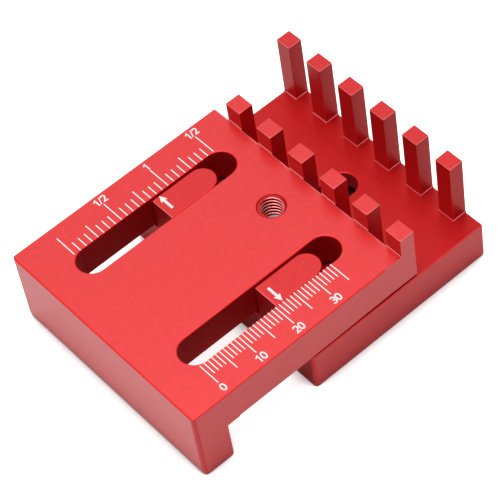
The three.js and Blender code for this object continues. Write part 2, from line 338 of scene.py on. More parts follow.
def marking_white(name):
    """Fine white marking with the slight grain of the blasted skin under it."""
    material = new_material(name)
    tree = material.node_tree
    place = object_place(tree)
    tone = add_node(tree, "ShaderNodeMix", {
        "Factor": spread(tree, grain(tree, place, scale=5000.0, detail=2.0), 0.0, 0.5),
        "A": (0.98, 0.98, 0.97, 1),
        "B": (0.93, 0.91, 0.90, 1),
    }, data_type="RGBA").outputs["Result"]
    fine = grain(tree, place, scale=9000.0, detail=2.0, roughness=0.5)
    bump = add_node(tree, "ShaderNodeBump", {
        "Height": fine, "Strength": 0.3, "Distance": 0.00002,
    }).outputs["Normal"]
    shader = add_node(tree, "ShaderNodeBsdfPrincipled", {
        "Base Color": tone, "Roughness": 0.6, "Normal": bump,
    }).outputs["BSDF"]
    add_node(tree, "ShaderNodeOutputMaterial", {"Surface": shader})
    return material


RED_FACE = blasted_anodising(
    "red_anodised_face", (0.60, 0.007, 0.009), (0.82, 0.018, 0.020), roughness=0.42, film=0.75)
# Darker copy of the red face with less film, for all of the lower plate: painted shade, as it lies lower
# and among the pins
RED_LOWER_PAINTED_SHADE = blasted_anodising(
    "red_anodised_lower", (0.54, 0.006, 0.008), (0.74, 0.014, 0.016), roughness=0.42, film=0.48)
# Lighter, smoother copy of the red for the roundings of edges: a painted highlight along them
RED_EDGE_PAINTED_HIGHLIGHT = blasted_anodising(
    "red_anodised_edge", (0.80, 0.006, 0.008), (0.85, 0.012, 0.014), roughness=0.34, film=0.3)
# Pale pink red with a full film for rims that catch the light: a painted highlight
PALE_RIM_PAINTED_HIGHLIGHT = blasted_anodising(
    "red_anodised_rim", (0.86, 0.12, 0.12), (0.9, 0.2, 0.2), roughness=0.3, film=1.0)
# Dark, dull red with almost no film for walls deep in slots, bores and round the bosses: painted shade
RED_POCKET_PAINTED_SHADE = blasted_anodising(
    "red_anodised_pocket", (0.42, 0.003, 0.004), (0.48, 0.005, 0.006), roughness=0.65, film=0.02)
# Darker red with little film for faces turned from the lamp or lying under the upper plate: painted shade
RED_INNER_PAINTED_SHADE = blasted_anodising(
    "red_anodised_inner", (0.48, 0.004, 0.005), (0.55, 0.007, 0.008), roughness=0.42, film=0.14)
# Dimmer copy of the edge red for upright corner roundings: painted shade in place of the edge highlight
RED_CORNER_PAINTED_SHADE = blasted_anodising(
    "red_anodised_corner", (0.62, 0.006, 0.008), (0.72, 0.012, 0.014), roughness=0.4, film=0.38)
SCREW_STEEL = turned_steel("screw_steel", (0.86, 0.86, 0.85), 0.4, 1500.0, metal=0.3)
KNOB_STEEL = turned_steel("knob_steel", (0.66, 0.66, 0.66), 0.3, 1200.0)
WASHER_STEEL = turned_steel("washer_steel", (0.7, 0.7, 0.69), 0.26, 900.0)
MARK_WHITE = marking_white("marking_white")

# Finishes of each plate, most of them copies of the red with painted highlights or painted shade, and the
# place of each one in a plate's list
ANODISED = (RED_FACE, RED_EDGE_PAINTED_HIGHLIGHT, PALE_RIM_PAINTED_HIGHLIGHT, RED_POCKET_PAINTED_SHADE, RED_INNER_PAINTED_SHADE, RED_CORNER_PAINTED_SHADE)
LOWER_ANODISED = (RED_LOWER_PAINTED_SHADE, RED_EDGE_PAINTED_HIGHLIGHT, PALE_RIM_PAINTED_HIGHLIGHT, RED_POCKET_PAINTED_SHADE, RED_INNER_PAINTED_SHADE, RED_CORNER_PAINTED_SHADE)
FACE, EDGE_HIGHLIGHT, RIM_HIGHLIGHT, POCKET_SHADE, INNER_SHADE, CORNER_SHADE = range(6)


# Solids

def solid(name, vertices, faces):
    mesh = bpy.data.meshes.new(name)
    mesh.from_pydata(vertices, [], faces)
    shape = bmesh.new()
    shape.from_mesh(mesh)
    bmesh.ops.recalc_face_normals(shape, faces=shape.faces)
    shape.to_mesh(mesh)
    shape.free()
    piece = bpy.data.objects.new(name, mesh)
    bpy.context.scene.collection.objects.link(piece)
    for material_used in ANODISED:
        mesh.materials.append(material_used)
    return piece


def stacked(name, rings):
    """Closed solid through rings of points that all have the same count."""
    count = len(rings[0])
    vertices = [point for ring in rings for point in ring]
    faces = [tuple(range(count)), tuple(range(len(vertices) - count, len(vertices)))]
    for level in range(len(rings) - 1):
        for i in range(count):
            j = (i + 1) % count
            low, high = level * count, (level + 1) * count
            faces.append((low + i, low + j, high + j, high + i))
    return solid(name, vertices, faces)


def block(name, x, y, z):
    corners = [(x[0], y[0]), (x[1], y[0]), (x[1], y[1]), (x[0], y[1])]
    return stacked(name, [[(u, v, level) for u, v in corners] for level in z])


def across(name, outline, y):
    """Solid with an outline in x and z, run across the gauge."""
    return stacked(name, [[(u, side, v) for u, v in outline] for side in y])


def obround(x, y, radius, z):
    """Ring of a slot with round ends."""
    points = []
    for end, start in ((x[1], -0.5), (x[0], 0.5)):
        for step in range(ARC_STEPS + 1):
            angle = math.pi * (start + step / ARC_STEPS)
            points.append((end + radius * math.cos(angle), y + radius * math.sin(angle), z))
    return points


def circle(radius, z, steps, x=0.0):
    return [(x + radius * math.cos(math.tau * i / steps), radius * math.sin(math.tau * i / steps), z)
            for i in range(steps)]


def turned(name, profile, steps, x=0.0):
    """Solid turned round the upright axis, from (radius, height) pairs."""
    return stacked(name, [circle(max(radius, POINT_RADIUS), z, steps, x) for radius, z in profile])


def mouth_levels(face, radius, outwards):
    """Outset and height of a cutter that rounds the mouth of a pocket over to its face."""
    levels = []
    for step in range(MOUTH_STEPS + 1):
        angle = math.pi / 2 * step / MOUTH_STEPS
        depth = radius * (1 - math.sin(angle))
        levels.append((radius * (1 - math.cos(angle)), face - outwards * depth))
    levels.append((radius, face + outwards * OVERRUN))
    return levels


def settle(piece):
    """Makes the modifiers' result the piece's own mesh."""
    bpy.context.view_layer.update()
    graph = bpy.context.evaluated_depsgraph_get()
    mesh = bpy.data.meshes.new_from_object(piece.evaluated_get(graph))
    old = piece.data
    piece.modifiers.clear()
    piece.data = mesh
    bpy.data.meshes.remove(old)
    return piece


def round_edges(piece, radius_of, segments=EDGE_STEPS):
    """Rounds each edge by the radius that radius_of gives for its two ends."""
    shape = bmesh.new()
    shape.from_mesh(piece.data)
    radii = {e.index: radius_of(e.verts[0].co, e.verts[1].co) for e in shape.edges}
    widest = max(radii.values())
    layer = shape.edges.layers.float.new("bevel_weight_edge")
    for edge in shape.edges:
        edge[layer] = radii[edge.index] / widest
    shape.to_mesh(piece.data)
    shape.free()
    bevel = piece.modifiers.new("rounding", "BEVEL")
    bevel.limit_method = "WEIGHT"
    bevel.width = widest
    bevel.segments = segments
    bevel.use_clamp_overlap = False
    # Every rounding takes the lighter red of the painted edge highlight
    bevel.material = EDGE_HIGHLIGHT
    return settle(piece)


def round_all(piece, radius):
    """Rounds every sharp edge alike."""
    bevel = piece.modifiers.new("rounding", "BEVEL")
    bevel.limit_method = "ANGLE"
    bevel.angle_limit = math.radians(SHARP_ANGLE)
    bevel.width = radius
    bevel.segments = EDGE_STEPS
    bevel.use_clamp_overlap = False
    # Every rounding takes the lighter red of the painted edge highlight
    bevel.material = EDGE_HIGHLIGHT
    return settle(piece)


def refinish(piece, place_in_list, chosen=lambda c, n: True):
    """Gives a material, plain or with painted light or shade, to the faces that are chosen by their
    centre and normal, or to all.
    """
    for face in piece.data.polygons:
        if chosen(face.center, face.normal):
            face.material_index = place_in_list
    return piece


def same(a, b):
    return abs(a - b) < HAIR


def on_upright_round(n):
    """Whether a normal belongs to the round between two upright faces."""
    return abs(n.z) < SLIGHTLY and max(abs(n.x), abs(n.y)) < SQUARE_ON


def merge(piece, other, operation="UNION"):
    """Joins the other solid to the piece, cuts it away or keeps what both fill, and removes it."""
    joint = piece.modifiers.new("joint", "BOOLEAN")
    joint.operation = operation
    joint.solver = "EXACT"
    joint.object = other
    settle(piece)
    bpy.data.objects.remove(other)
    return piece


def cut(piece, other):
    return merge(piece, other, "DIFFERENCE")


def lip_radius(root, crest):
    """Radius at which the foot of a thread's flank ends."""
    return root + THREAD_LIP * (crest - root)


def threaded_bar(name, root, crest, low, high):
    """Helical bar round the clamp's axis whose ridges have flat roots and crests."""
    profile = (
        (0.0, root), (ROOT_FLAT, root), (ROOT_FLAT + FLANK * THREAD_LIP, lip_radius(root, crest)),
        (ROOT_FLAT + FLANK, crest), (ROOT_FLAT + FLANK + CREST_FLAT, crest),
    )
    steps = BORE_STEPS
    turn = len(profile)
    first = math.floor(low / THREAD_PITCH) - 1
    rows = (math.ceil(high / THREAD_PITCH) + 1 - first) * turn
    vertices, faces = [], []

    def vertex(row, step):
        angle = math.tau * step / steps
        share, radius = profile[row % turn]
        level = (first + row // turn + share + step / steps) * THREAD_PITCH
        vertices.append((HOLE_X + radius * math.cos(angle), radius * math.sin(angle), level))

    def at(row, step):
        if step == steps:
            return at(row + turn, 0)
        return row * steps + step if row < rows else rows * steps + row - rows

    for row in range(rows):
        for step in range(steps):
            vertex(row, step)
    for row in range(rows, rows + turn):
        vertex(row, 0)
    for row in range(rows - 1):
        for step in range(steps):
            faces.append((at(row, step), at(row, step + 1), at(row + 1, step + 1), at(row + 1, step)))
    bottom = len(vertices)
    top = bottom + 1
    vertices.append((HOLE_X, 0.0, first * THREAD_PITCH))
    vertices.append((HOLE_X, 0.0, (first + rows / turn + 1) * THREAD_PITCH))
    for step in range(steps):
        faces.append((at(0, step + 1), at(0, step), bottom))
        faces.append((at(rows - 1, step), at(rows - 1, step + 1), top))
    for row in range(turn):
        faces.append((at(row, 0), at(row + 1, 0), bottom))
        faces.append((at(rows + row, 0), at(rows - 1 + row, 0), top))
    return solid(name, vertices, faces)


def finish(piece, name, material_list, body, node=None):
    """Puts a finished shape in metres, evens out its shading and hangs it on its body."""
    piece.name = name
    piece.data.name = name
    piece.data.transform(Matrix.Scale(0.001, 4) @ Matrix.Translation((-ORIGIN_X, 0, 0)))
    # Clearing the materials resets the material of each face, painted light and shade included, so the
    # choices are read first
    chosen = [min(face.material_index, len(material_list) - 1) for face in piece.data.polygons]
    piece.data.materials.clear()
    for material_used in material_list:
        piece.data.materials.append(material_used)
    piece.data.polygons.foreach_set("material_index", chosen)
    piece.data.polygons.foreach_set("use_smooth", [True] * len(piece.data.polygons))
    piece.data.set_sharp_from_angle(angle=math.radians(SMOOTH_ANGLE))
    evening = piece.modifiers.new("evening", "WEIGHTED_NORMAL")
    evening.keep_sharp = True
    evening.weight = 100
    settle(piece)
    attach(piece, body)
    if node:
        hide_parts(node)
    return piece


# Repeating shapes

def geometry_tree(name, sockets):
    tree = bpy.data.node_groups.new(name, "GeometryNodeTree")
    tree.interface.new_socket("Geometry", in_out="INPUT", socket_type="NodeSocketGeometry")
    for label, kind in sockets:
        tree.interface.new_socket(label, in_out="INPUT", socket_type="NodeSocket" + kind)
    tree.interface.new_socket("Geometry", in_out="OUTPUT", socket_type="NodeSocketGeometry")
    return tree, tree.nodes.new("NodeGroupInput").outputs


def close_tree(tree, instances, material):
    """Ends a tree in real geometry with its finish set."""
    real = add_node(tree, "GeometryNodeRealizeInstances", {"Geometry": instances}).outputs["Geometry"]
    named = add_node(tree, "GeometryNodeSetMaterial", {"Geometry": real, "Material": material})
    add_node(tree, "NodeGroupOutput", {"Geometry": named.outputs["Geometry"]})
    return tree


def maths(tree, operation, *values):
    node = tree.nodes.new("ShaderNodeMath")
    node.operation = operation
    for socket, value in zip(node.inputs, values):
        if isinstance(value, bpy.types.NodeSocket):
            tree.links.new(value, socket)
        else:
            socket.default_value = value
    return node.outputs[0]


def repeat_row_tree():
    """Copies of a piece in a straight row, a pitch apart along y."""
    tree, given = geometry_tree("repeat_row", (
        ("Count", "Int"), ("Pitch", "Float"), ("Material", "Material"),
    ))
    step = add_node(tree, "ShaderNodeCombineXYZ", {"Y": given["Pitch"]}).outputs["Vector"]
    row = add_node(tree, "GeometryNodeMeshLine", {"Count": given["Count"], "Offset": step}, mode="OFFSET")
    copies = add_node(tree, "GeometryNodeInstanceOnPoints", {
        "Points": row.outputs["Mesh"], "Instance": given["Geometry"],
    }).outputs["Instances"]
    return close_tree(tree, copies, given["Material"])


def scale_marks_tree():
    """Marks of a rule along x. Every so many marks one is longer, and at a wider step longest."""
    tree, given = geometry_tree("scale_marks", (
        ("Count", "Int"), ("Pitch", "Float"), ("Short", "Float"), ("Middle", "Float"), ("Long", "Float"),
        ("Middle Every", "Int"), ("Long Every", "Int"), ("Material", "Material"),
    ))
    step = add_node(tree, "ShaderNodeCombineXYZ", {"X": given["Pitch"]}).outputs["Vector"]
    row = add_node(tree, "GeometryNodeMeshLine", {"Count": given["Count"], "Offset": step}, mode="OFFSET")
    index = tree.nodes.new("GeometryNodeInputIndex").outputs["Index"]
    in_middle = maths(tree, "LESS_THAN", maths(tree, "MODULO", index, given["Middle Every"]), 0.5)
    in_long = maths(tree, "LESS_THAN", maths(tree, "MODULO", index, given["Long Every"]), 0.5)
    middle = add_node(tree, "GeometryNodeSwitch", {
        "Switch": in_middle, "False": given["Short"], "True": given["Middle"],
    }, input_type="FLOAT").outputs["Output"]
    length = add_node(tree, "GeometryNodeSwitch", {
        "Switch": in_long, "False": middle, "True": given["Long"],
    }, input_type="FLOAT").outputs["Output"]
    size = add_node(tree, "ShaderNodeCombineXYZ", {"X": 1.0, "Y": length, "Z": 1.0}).outputs["Vector"]
    copies = add_node(tree, "GeometryNodeInstanceOnPoints", {
        "Points": row.outputs["Mesh"], "Instance": given["Geometry"], "Scale": size,
    }).outputs["Instances"]
    return close_tree(tree, copies, given["Material"])


def repeat_round_tree():
    """Copies of a piece all the way round the upright axis."""
    tree, given = geometry_tree("repeat_round", (("Count", "Int"), ("Material", "Material")))
    points = add_node(tree, "GeometryNodePoints", {"Count": given["Count"]}).outputs[0]
    index = tree.nodes.new("GeometryNodeInputIndex").outputs["Index"]
    angle = maths(tree, "DIVIDE", maths(tree, "MULTIPLY", index, math.tau), given["Count"])
    turn = add_node(tree, "ShaderNodeCombineXYZ", {"Z": angle}).outputs["Vector"]
    copies = add_node(tree, "GeometryNodeInstanceOnPoints", {
        "Points": points, "Instance": given["Geometry"], "Rotation": turn,
    }).outputs["Instances"]
    return close_tree(tree, copies, given["Material"])


def run_tree(piece, tree, **values):
    """Runs a tree on a piece with its inputs set by name, and keeps the result as plain mesh."""
    modifier = piece.modifiers.new("repeat", "NODES")
    modifier.node_group = tree
    known = {s.name.replace(" ", "_"): s.identifier for s in tree.interface.items_tree
             if s.in_out == "INPUT"}
    for label, value in values.items():
        modifier[known[label]] = value
    return settle(piece)


REPEAT_ROW = repeat_row_tree()
SCALE_MARKS = scale_marks_tree()
REPEAT_ROUND = repeat_round_tree()


# Upper plate

def upper_body():
    """Plate with its foot, rounded by the radius of each edge."""
    outline = [
        (-FOOT_LENGTH, 0.0), (0.0, 0.0), (0.0, UNDERSIDE - LAND_DEPTH),
        (LAND_LENGTH, UNDERSIDE - LAND_DEPTH), (LAND_LENGTH, UNDERSIDE),
        (BODY_LENGTH, UNDERSIDE), (BODY_LENGTH, UPPER_FACE), (-FOOT_LENGTH, UPPER_FACE),
    ]

    def radius_of(a, b):
        if same(a.y, b.y):
            return CORNER_ROUND if max(a.x, b.x) < -FOOT_LENGTH / 2 else SIDE_ROUND
        if same(a.x, 0.0):
            return FOOT_HEEL_ROUND if same(a.z, 0.0) else FOOT_FILLET
        if same(a.x, LAND_LENGTH):
            return 0.0
        return FOOT_TOE_ROUND if same(a.z, 0.0) else EDGE_ROUND

    body = round_edges(across("upper", outline, (-HALF_WIDTH, HALF_WIDTH)), radius_of)
    # The foot's upright front corners take the painted corner shade
    refinish(body, CORNER_SHADE, lambda c, n: c.x < CORNER_ROUND - FOOT_LENGTH and on_upright_round(n))
    # The far top edge takes the pale painted rim highlight
    return refinish(body, RIM_HIGHLIGHT, lambda c, n: (
        min(n.x, n.z) > SLIGHTLY and c.x > BODY_LENGTH - EDGE_ROUND and c.z > UPPER_FACE - EDGE_ROUND))


def square_pin(name, x, y, z):
    """Square pin with nearly sharp sides, broken a little more round its top."""
    def radius_of(a, b):
        if not same(a.z, b.z):
            return PIN_SIDE_ROUND
        return PIN_TOP_ROUND if same(a.z, z[1]) else 0.0

    return round_edges(block(name, x, y, z), radius_of, PIN_EDGE_STEPS)


def dress_pins(pins):
    """Gives a row of pins the plain red on its tops, painted shade on its upright sides, and painted
    highlights on its upright corners and broken top edges.
    """
    pins.data.materials.clear()
    for material_used in ANODISED:
        pins.data.materials.append(material_used)
    refinish(pins, FACE, lambda c, n: n.z > NEARLY_LEVEL)
    refinish(pins, RIM_HIGHLIGHT, lambda c, n: SLIGHTLY < n.z <= NEARLY_LEVEL)
    refinish(pins, INNER_SHADE, lambda c, n: abs(n.z) <= SLIGHTLY)
    return refinish(pins, EDGE_HIGHLIGHT, lambda c, n: on_upright_round(n))


def short_pin(run):
    """Upper pin at the -Y end of the row, with the sharp-edged root that it leaves on the plate."""
    y = (-HALF_WIDTH, UPPER_PIN_WIDTH - HALF_WIDTH)
    pin = square_pin("short_pin", (BODY_LENGTH, BODY_LENGTH + UPPER_PIN_LENGTH), y,
                     (UNDERSIDE, UPPER_FACE + UPPER_PIN_HEIGHT))
    root = [
        (BODY_LENGTH - run, UNDERSIDE + EDGE_ROUND),
        (BODY_LENGTH + PIN_SIDE_ROUND, UNDERSIDE + EDGE_ROUND),
        (BODY_LENGTH + PIN_SIDE_ROUND, UPPER_FACE + PIN_FILLET),
        (BODY_LENGTH, UPPER_FACE + PIN_FILLET),
        (BODY_LENGTH - PIN_FILLET, UPPER_FACE),
        (BODY_LENGTH - run, UPPER_FACE),
    ]
    return merge(pin, across("root", root, y))


def slot_cutter(x, y, radius, face, mouth):
    """Cutter for a slot right through a plate, with its upper mouth rounded over."""
    rings = [obround(x, y, radius, -OVERRUN)]
    rings += [obround(x, y, radius + outset, z) for outset, z in mouth_levels(face, mouth, 1)]
    # The slot's walls take the painted shade
    cutter = refinish(stacked("slot", rings), POCKET_SHADE)
    # The rounded upper mouth takes the painted edge highlight
    return refinish(cutter, EDGE_HIGHLIGHT, lambda c, n: c.z > face - mouth)


def relief_cutter(x, y):
    """Cutter that slopes the lower mouth of a scale slot, and runs out at the foot."""
    cutter = stacked("relief", [
        obround((x[0] + outset, x[1]), y, SLOT_RADIUS + outset, UNDERSIDE + SLOT_RELIEF - outset)
        for outset in (SLOT_RELIEF + SINK, SLOT_RELIEF, 0.0)
    ])
    # The sloped lower mouth takes the painted shade
    return refinish(cutter, POCKET_SHADE)


def filed_edge_cutter(side):
    """Cutter that breaks the lower edge of a side, and runs out at the land."""
    rings = []
    for x, depth in FILED_EDGE:
        outer, low = HALF_WIDTH + OVERRUN, UNDERSIDE - OVERRUN
        inner, high = HALF_WIDTH - depth - OVERRUN, UNDERSIDE + depth + OVERRUN
        rings.append([(x, side * inner, low), (x, side * outer, low), (x, side * outer, high)])
    # The filed strip takes the painted shade
    return refinish(stacked("filed_edge", rings), INNER_SHADE)


def make_upper_plate():
    plate = upper_body()
    row = run_tree(short_pin(SINK), REPEAT_ROW, Count=PIN_COUNT, Pitch=PIN_PITCH, Material=RED_FACE)
    merge(plate, dress_pins(row))
    merge(plate, dress_pins(short_pin(SHARP_EDGE_RUN)))
    ends = (SLOT_START + SLOT_RADIUS, SLOT_END - SLOT_RADIUS)
    for side in (-1, 1):
        cut(plate, slot_cutter(ends, side * SLOT_CENTRE, SLOT_RADIUS, UPPER_FACE, SLOT_MOUTH))
        cut(plate, relief_cutter(ends, side * SLOT_CENTRE))
        cut(plate, filed_edge_cutter(side))
    hole = threaded_bar("hole", THREAD_ROOT_RADIUS, THREAD_CREST_RADIUS,
                        UNDERSIDE - SINK, UPPER_FACE + SINK)
    lip = lip_radius(THREAD_ROOT_RADIUS, THREAD_CREST_RADIUS)
    # The bore of the thread takes the painted shade
    refinish(hole, POCKET_SHADE)
    # The thread's flanks next to its inner crests take the pale painted rim highlight
    refinish(hole, RIM_HIGHLIGHT, lambda c, n: n.z < -TILTED and math.hypot(c.x - HOLE_X, c.y) < lip)
    cut(plate, hole)
    waist = THREAD_ROOT_RADIUS - THREAD_CLEARANCE
    mouths = turned("mouths", [
        (HOLE_MOUTH_RADIUS, UNDERSIDE - SINK), (HOLE_MOUTH_RADIUS, UNDERSIDE),
        (THREAD_CREST_RADIUS, UNDERSIDE + THREAD_LEAD), (waist, UNDERSIDE + THREAD_LEAD),
        (waist, UPPER_FACE - THREAD_LEAD), (THREAD_CREST_RADIUS, UPPER_FACE - THREAD_LEAD),
        (HOLE_MOUTH_RADIUS, UPPER_FACE), (HOLE_MOUTH_RADIUS, UPPER_FACE + SINK),
    ], BORE_STEPS, HOLE_X)
    # The mouths of the hole take the painted shade
    cut(plate, refinish(mouths, INNER_SHADE))
    refinish(plate, FACE, lambda c, n: n.y < -SQUARE_ON and c.y < HAIR - HALF_WIDTH)
    return finish(plate, "upper_plate_shell", ANODISED, "upper", "upper_plate")


# Lower plate

def lower_body():
    """Plate that slides, its near end at x zero, rounded by the radius of each edge."""
    outline = [(0.0, 0.0), (BODY_LENGTH, 0.0), (BODY_LENGTH, LOWER_THICKNESS), (0.0, LOWER_THICKNESS)]

    def radius_of(a, b):
        if not same(a.y, b.y):
            return EDGE_ROUND
        return CORNER_ROUND if same(max(a.x, b.x), 0.0) else SIDE_ROUND

    body = round_edges(across("lower", outline, (-HALF_WIDTH, HALF_WIDTH)), radius_of)
    # The near upright corners take the painted corner shade
    return refinish(body, CORNER_SHADE, lambda c, n: c.x < CORNER_ROUND and on_upright_round(n))


def tall_pin(y):
    """Lower pin with a small sloped skirt where it stands on the plate."""
    far = BODY_LENGTH
    near = BODY_LENGTH - LOWER_PIN_LENGTH
    z = (LOWER_THICKNESS - SINK, LOWER_THICKNESS + LOWER_PIN_HEIGHT)
    pin = square_pin("tall_pin", (near, far), y, z)
    seat = LOWER_THICKNESS + SEAT_RISE

    def ring(grow, level):
        x, low, high = near - grow, y[0] - grow, min(y[1] + grow, HALF_WIDTH)
        return [(x, low, level), (far, low, level), (far, high, level), (x, high, level)]

    skirt = stacked("skirt", [ring(SKIRT, seat - SINK), ring(SKIRT, seat), ring(0.0, seat + SKIRT)])
    return merge(pin, skirt)


def pointer_boss(side):
    """Boss with a flat end and a round end that rides in a scale slot."""
    y = side * SLOT_CENTRE
    centre = BOSS_LENGTH - BOSS_RADIUS
    points = [(0.0, y + BOSS_RADIUS), (0.0, y - BOSS_RADIUS)]
    for step in range(ARC_STEPS + 1):
        angle = math.pi * (step / ARC_STEPS - 0.5)
        points.append((centre + BOSS_RADIUS * math.cos(angle), y + BOSS_RADIUS * math.sin(angle)))
    levels = (LOWER_THICKNESS - SINK, BOSS_TOP)
    boss = stacked("boss", [[(u, v, z) for u, v in points] for z in levels])
    # The boss's upright walls take the painted shade
    refinish(boss, POCKET_SHADE, lambda c, n: abs(n.z) < SLIGHTLY)
    round_all(boss, BOSS_ROUND)
    # The top edge of the boss's flat end takes the pale painted rim highlight
    return refinish(boss, RIM_HIGHLIGHT, lambda c, n: n.x < -TILTED and n.z > SLIGHTLY)


def make_lower_plate():
    plate = lower_body()
    seat_x = (BODY_LENGTH - LOWER_PIN_LENGTH - SEAT_RUN, BODY_LENGTH - EDGE_ROUND)
    seat_z = (LOWER_THICKNESS - SINK, LOWER_THICKNESS + SEAT_RISE)
    inner = HALF_WIDTH - EDGE_ROUND
    merge(plate, block("seat", seat_x, (-inner, inner), seat_z))
    first = UPPER_PIN_WIDTH + PIN_SPACE - HALF_WIDTH
    row = run_tree(tall_pin((first, first + LOWER_PIN_WIDTH)), REPEAT_ROW,
                   Count=PIN_COUNT - 1, Pitch=PIN_PITCH, Material=RED_FACE)
    merge(plate, dress_pins(row))
    last = first + (PIN_COUNT - 1) * PIN_PITCH
    merge(plate, dress_pins(tall_pin((last, HALF_WIDTH))))
    for side in (-1, 1):
        merge(plate, pointer_boss(side))
    cut(plate, slot_cutter(CLAMP_RUN, 0.0, CLAMP_SLOT_WIDTH / 2, LOWER_THICKNESS, CLAMP_MOUTH))
    rings = [obround(CLAMP_RUN, 0.0, POCKET_RADIUS, POCKET_DEPTH)]
    rings += [obround(CLAMP_RUN, 0.0, POCKET_RADIUS + outset, z)
              for outset, z in mouth_levels(0.0, CLAMP_MOUTH, -1)]
    cut(plate, stacked("pocket", rings))
    # The lower plate's top and its near end under the upper plate take the painted shade
    refinish(plate, INNER_SHADE, lambda c, n: n.z > MAINLY and abs(c.z - LOWER_THICKNESS) < TOP_BAND)
    refinish(plate, INNER_SHADE, lambda c, n: n.x < -MAINLY and c.x < HAIR and c.z < LOWER_THICKNESS)
    refinish(plate, FACE, lambda c, n: n.x > SQUARE_ON and c.x > BODY_LENGTH - HAIR)
    refinish(plate, FACE, lambda c, n: n.y > SQUARE_ON and c.y > HALF_WIDTH - HAIR)
    plate.data.transform(Matrix.Translation((REST_READING, 0, 0)))
    return finish(plate, "lower_plate_shell", LOWER_ANODISED, "lower", "lower_plate")


# Clamp

def make_screw():
    crest = THREAD_CREST_RADIUS - THREAD_CLEARANCE
    root = THREAD_ROOT_RADIUS - THREAD_CLEARANCE
    screw = threaded_bar("screw", root, crest, SCREW_BOTTOM, SCREW_TOP)
    tip = crest - SCREW_CHAMFER
    merge(screw, turned("envelope", [
        (tip, SCREW_BOTTOM), (crest, SCREW_BOTTOM + SCREW_CHAMFER),
        (crest, SCREW_TOP - SCREW_CHAMFER), (tip, SCREW_TOP),
    ], BORE_STEPS, HOLE_X), "INTERSECT")
    floor = SCREW_TOP - SOCKET_DEPTH
    corner = SOCKET_ACROSS_FLATS / 2 / math.cos(math.pi / SOCKET_SIDES)
    cut(screw, turned("socket", [
        (0.0, floor - SOCKET_CONE), (corner, floor), (corner, SCREW_TOP - SOCKET_BEVEL),
        (corner + SOCKET_BEVEL + SOCKET_OVERRUN, SCREW_TOP + SOCKET_OVERRUN),
    ], SOCKET_SIDES, HOLE_X))
    return finish(screw, "clamp_screw_steel", (SCREW_STEEL, SCREW_STEEL), "knob", "clamp_screw")


def make_knob():
    drum = KNOB_RADIUS - KNURL_DEPTH
    core = turned("knob", [
        (KNOB_DISH_RADIUS, KNOB_BOTTOM + KNOB_DISH_DEPTH), (KNOB_DISH_RADIUS, KNOB_BOTTOM),
        (drum - KNOB_CHAMFER, KNOB_BOTTOM), (drum, KNOB_BOTTOM + KNOB_CHAMFER),
        (drum, KNOB_TOP - KNOB_CHAMFER), (drum - KNOB_CHAMFER, KNOB_TOP),
        (KNOB_BORE_RADIUS, KNOB_TOP), (KNOB_BORE_RADIUS, KNOB_TOP - KNOB_BORE_DEPTH),
    ], RIM_STEPS)
    root = KNOB_RADIUS - KNURL_ROOT_DEPTH
    low, high = KNOB_BOTTOM + KNURL_END_GAP, KNOB_TOP - KNURL_END_GAP
    rise = KNURL_TAPER - KNURL_END_GAP
    rings = []
    for z, inset in ((low, KNURL_TAPER), (low + rise, 0.0), (high - rise, 0.0), (high, KNURL_TAPER)):
        tip = KNOB_RADIUS - inset
        rings.append([(root, -KNURL_ROOT_HALF, z), (tip, -KNURL_TIP_HALF, z),
                      (tip, KNURL_TIP_HALF, z), (root, KNURL_ROOT_HALF, z)])
    ridge = stacked("ridge", rings)
    ridges = run_tree(ridge, REPEAT_ROUND, Count=KNURL_COUNT, Material=KNOB_STEEL)
    merge(core, ridges)
    core.data.transform(Matrix.Translation((HOLE_X, 0, 0)))
    return finish(core, "clamp_knob_steel", (KNOB_STEEL, KNOB_STEEL), "knob", "clamp_knob")


def make_washer():
    washer = turned("washer", [
        (WASHER_RADIUS - WASHER_BEVEL, WASHER_BOTTOM), (WASHER_RADIUS, WASHER_BOTTOM + WASHER_BEVEL),
        (WASHER_RADIUS, WASHER_TOP - WASHER_BEVEL), (WASHER_RADIUS - WASHER_BEVEL, WASHER_TOP),
    ], RIM_STEPS, HOLE_X)
    radius = THREAD_CREST_RADIUS - THREAD_CLEARANCE + WASHER_BORE_CLEARANCE
    ends = (WASHER_BOTTOM - SINK, WASHER_TOP + SINK)
    cut(washer, turned("bore", [(radius, z) for z in ends], BORE_STEPS, HOLE_X))
    return finish(washer, "clamp_washer_steel", (WASHER_STEEL, WASHER_STEEL), "washer", "clamp_washer")


# Marks

def scale_marks(name, side, **lengths):
    """Marks of one scale, from the slot's edge outwards."""
    half = MARK_WIDTH / 2
    mark = block(name, (-half, half), sorted((0.0, side)), (-MARK_SINK, MARK_HEIGHT))
    run_tree(mark, SCALE_MARKS, Material=MARK_WHITE, **lengths)
    start = SLOT_CENTRE + SLOT_RADIUS + MARK_SETBACK
    mark.data.transform(Matrix.Translation((SCALE_ZERO, side * start, UPPER_FACE)))
    return finish(mark, name, (MARK_WHITE,), "upper")


def bow(x, y, across_half, up_half, start, end, steps=14):
    """Points of an arc between two angles in degrees."""
    angles = [math.radians(start + (end - start) * i / steps) for i in range(steps + 1)]
    return [(x + across_half * math.cos(a), y + up_half * math.sin(a)) for a in angles]


# Each digit is one stroke in a cell that is one high: its points, its advance, and whether it closes
DIGITS = {
    "0": (bow(0.0, 0.5, 0.235, 0.412, 0, 345, 23), DIGIT_ADVANCE, True),
    "1": ([(-0.22, 0.7), (0.07, 0.9), (0.07, 0.0)], DIGIT_ADVANCE, False),
    "2": (bow(0.0, 0.68, 0.22, 0.235, 165, -25) + [(0.1, 0.42), (-0.19, 0.09), (0.29, 0.09)],
          DIGIT_ADVANCE, False),
    "3": (bow(0.0, 0.7, 0.21, 0.212, 150, -50) + [(0.0, 0.51)] + bow(0.0, 0.3, 0.23, 0.212, 50, -150),
          DIGIT_ADVANCE, False),
    "/": ([(-0.15, 0.0), (0.15, 1.0)], SLASH_ADVANCE, False),
}


